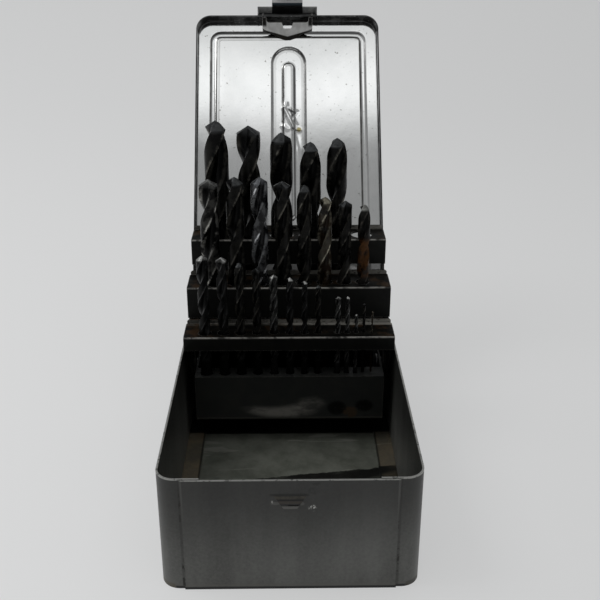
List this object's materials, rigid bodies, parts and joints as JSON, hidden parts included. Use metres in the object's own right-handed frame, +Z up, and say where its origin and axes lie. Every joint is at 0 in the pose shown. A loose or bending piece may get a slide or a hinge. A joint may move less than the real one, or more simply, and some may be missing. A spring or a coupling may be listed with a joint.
{
  "type": "drill bit case",
  "caption": "Open sheet-metal drill case: a deep tray with a leaning hinged lid and latch, and stepped racks of upright twist drills graded by size.",
  "frame": {"origin": "middle of the tray's underside, on the surface it stands on", "axes": "+Z up, +Y from the latch nose at the front to the hinge at the back, +X to the right as seen from the front"},
  "size_m": [0.1148, 0.287, 0.2279],
  "materials": {
    "drill_black": "black oxide",
    "drill_bright": "bright ground",
    "hinge_steel": "satin",
    "latch_dark": "dark paint, worn",
    "latch_steel": "satin",
    "lid_bright": "bright inside, satin",
    "rack_paint": "black paint, semi-gloss, worn edges",
    "rivet_steel": "satin",
    "tray_paint": "satin grey paint, worn at the rims"
  },
  "bodies": {
    "tray": {"tray_centre": "tray_paint", "tray_side_left": "tray_paint", "tray_side_right": "tray_paint", "hinge_base_leaf": "hinge_steel", "hinge_pin": "hinge_steel", "pivot_rivets": "rivet_steel"},
    "lid": {"lid_shell": "lid_bright", "hinge_lid_leaf": "hinge_steel", "latch_bracket": "latch_steel", "latch_pin": "latch_steel"},
    "latch": {"latch_lever": "latch_dark"},
    "racks": {"rack_front": "rack_paint", "rack_middle": "rack_paint", "rack_back": "rack_paint", "shank_trough": "rack_paint", "stop_ramp_front": "rack_paint", "stop_ramp_middle": "rack_paint", "rack_rivets": "rivet_steel"},
    "drill_6_0mm": {"drill_6_0mm": "drill_black"},
    "drill_5_5mm": {"drill_5_5mm": "drill_black"},
    "drill_5_0mm": {"drill_5_0mm": "drill_black"},
    "drill_4_5mm": {"drill_4_5mm": "drill_black"},
    "drill_4_2mm": {"drill_4_2mm": "drill_black"},
    "drill_4_0mm": {"drill_4_0mm": "drill_black"},
    "drill_3_5mm": {"drill_3_5mm": "drill_black"},
    "drill_3_3mm": {"drill_3_3mm": "drill_black"},
    "drill_3_0mm": {"drill_3_0mm": "drill_bright"},
    "drill_2_5mm": {"drill_2_5mm": "drill_black"},
    "drill_2_0mm": {"drill_2_0mm": "drill_black"},
    "drill_1_5mm": {"drill_1_5mm": "drill_black"},
    "drill_1_0mm": {"drill_1_0mm": "drill_bright"},
    "drill_10_0mm": {"drill_10_0mm": "drill_black"},
    "drill_9_5mm": {"drill_9_5mm": "drill_black"},
    "drill_9_0mm": {"drill_9_0mm": "drill_bright"},
    "drill_8_5mm": {"drill_8_5mm": "drill_black"},
    "drill_8_0mm": {"drill_8_0mm": "drill_black"},
    "drill_7_5mm": {"drill_7_5mm": "drill_bright"},
    "drill_7_0mm": {"drill_7_0mm": "drill_black"},
    "drill_6_5mm": {"drill_6_5mm": "drill_black"},
    "drill_13_0mm": {"drill_13_0mm": "drill_black"},
    "drill_12_5mm": {"drill_12_5mm": "drill_black"},
    "drill_12_0mm": {"drill_12_0mm": "drill_black"},
    "drill_11_5mm": {"drill_11_5mm": "drill_black"},
    "drill_11_0mm": {"drill_11_0mm": "drill_black"}
  },
  "joints": [
    {"name": "lid_hinge", "type": "hinge", "parent": "tray", "child": "lid", "pos_m": [0, 0.09055, 0.05645], "axis": [-1, 0, 0], "range_deg": [-123.8, 0]},
    {"name": "rack_tilt", "type": "hinge", "parent": "tray", "child": "racks", "pos_m": [0, 0.05405, 0.0357], "axis": [-1, 0, 0], "range_deg": [-90, 0]},
    {"name": "latch_swing", "type": "hinge", "parent": "lid", "child": "latch", "pos_m": [0, 0.19356, 0.20458], "axis": [-1, 0, 0], "range_deg": [-35, 20]},
    {"name": "lift_6_0mm", "type": "slide", "parent": "racks", "child": "drill_6_0mm", "axis": [0, 0, 1], "range_m": [0, 0.05]},
    {"name": "lift_5_5mm", "type": "slide", "parent": "racks", "child": "drill_5_5mm", "axis": [0, 0, 1], "range_m": [0, 0.05]},
    {"name": "lift_5_0mm", "type": "slide", "parent": "racks", "child": "drill_5_0mm", "axis": [0, 0, 1], "range_m": [0, 0.05]},
    {"name": "lift_4_5mm", "type": "slide", "parent": "racks", "child": "drill_4_5mm", "axis": [0, 0, 1], "range_m": [0, 0.05]},
    {"name": "lift_4_2mm", "type": "slide", "parent": "racks", "child": "drill_4_2mm", "axis": [0, 0, 1], "range_m": [0, 0.05]},
    {"name": "lift_4_0mm", "type": "slide", "parent": "racks", "child": "drill_4_0mm", "axis": [0, 0, 1], "range_m": [0, 0.05]},
    {"name": "lift_3_5mm", "type": "slide", "parent": "racks", "child": "drill_3_5mm", "axis": [0, 0, 1], "range_m": [0, 0.05]},
    {"name": "lift_3_3mm", "type": "slide", "parent": "racks", "child": "drill_3_3mm", "axis": [0, 0, 1], "range_m": [0, 0.05]},
    {"name": "lift_3_0mm", "type": "slide", "parent": "racks", "child": "drill_3_0mm", "axis": [0, 0, 1], "range_m": [0, 0.05]},
    {"name": "lift_2_5mm", "type": "slide", "parent": "racks", "child": "drill_2_5mm", "axis": [0, 0, 1], "range_m": [0, 0.05]},
    {"name": "lift_2_0mm", "type": "slide", "parent": "racks", "child": "drill_2_0mm", "axis": [0, 0, 1], "range_m": [0, 0.05]},
    {"name": "lift_1_5mm", "type": "slide", "parent": "racks", "child": "drill_1_5mm", "axis": [0, 0, 1], "range_m": [0, 0.05]},
    {"name": "lift_1_0mm", "type": "slide", "parent": "racks", "child": "drill_1_0mm", "axis": [0, 0, 1], "range_m": [0, 0.05]},
    {"name": "lift_10_0mm", "type": "slide", "parent": "racks", "child": "drill_10_0mm", "axis": [0, 0, 1], "range_m": [0, 0.07]},
    {"name": "lift_9_5mm", "type": "slide", "parent": "racks", "child": "drill_9_5mm", "axis": [0, 0, 1], "range_m": [0, 0.07]},
    {"name": "lift_9_0mm", "type": "slide", "parent": "racks", "child": "drill_9_0mm", "axis": [0, 0, 1], "range_m": [0, 0.07]},
    {"name": "lift_8_5mm", "type": "slide", "parent": "racks", "child": "drill_8_5mm", "axis": [0, 0, 1], "range_m": [0, 0.07]},
    {"name": "lift_8_0mm", "type": "slide", "parent": "racks", "child": "drill_8_0mm", "axis": [0, 0, 1], "range_m": [0, 0.07]},
    {"name": "lift_7_5mm", "type": "slide", "parent": "racks", "child": "drill_7_5mm", "axis": [0, 0, 1], "range_m": [0, 0.07]},
    {"name": "lift_7_0mm", "type": "slide", "parent": "racks", "child": "drill_7_0mm", "axis": [0, 0, 1], "range_m": [0, 0.07]},
    {"name": "lift_6_5mm", "type": "slide", "parent": "racks", "child": "drill_6_5mm", "axis": [0, 0, 1], "range_m": [0, 0.07]},
    {"name": "lift_13_0mm", "type": "slide", "parent": "racks", "child": "drill_13_0mm", "axis": [0, 0, 1], "range_m": [0, 0.094]},
    {"name": "lift_12_5mm", "type": "slide", "parent": "racks", "child": "drill_12_5mm", "axis": [0, 0, 1], "range_m": [0, 0.094]},
    {"name": "lift_12_0mm", "type": "slide", "parent": "racks", "child": "drill_12_0mm", "axis": [0, 0, 1], "range_m": [0, 0.094]},
    {"name": "lift_11_5mm", "type": "slide", "parent": "racks", "child": "drill_11_5mm", "axis": [0, 0, 1], "range_m": [0, 0.094]},
    {"name": "lift_11_0mm", "type": "slide", "parent": "racks", "child": "drill_11_0mm", "axis": [0, 0, 1], "range_m": [0, 0.094]}
  ],
  "couplings": [
    {"joint": "rack_tilt", "follows": "lid_hinge", "ratio": 0.72698}
  ]
}
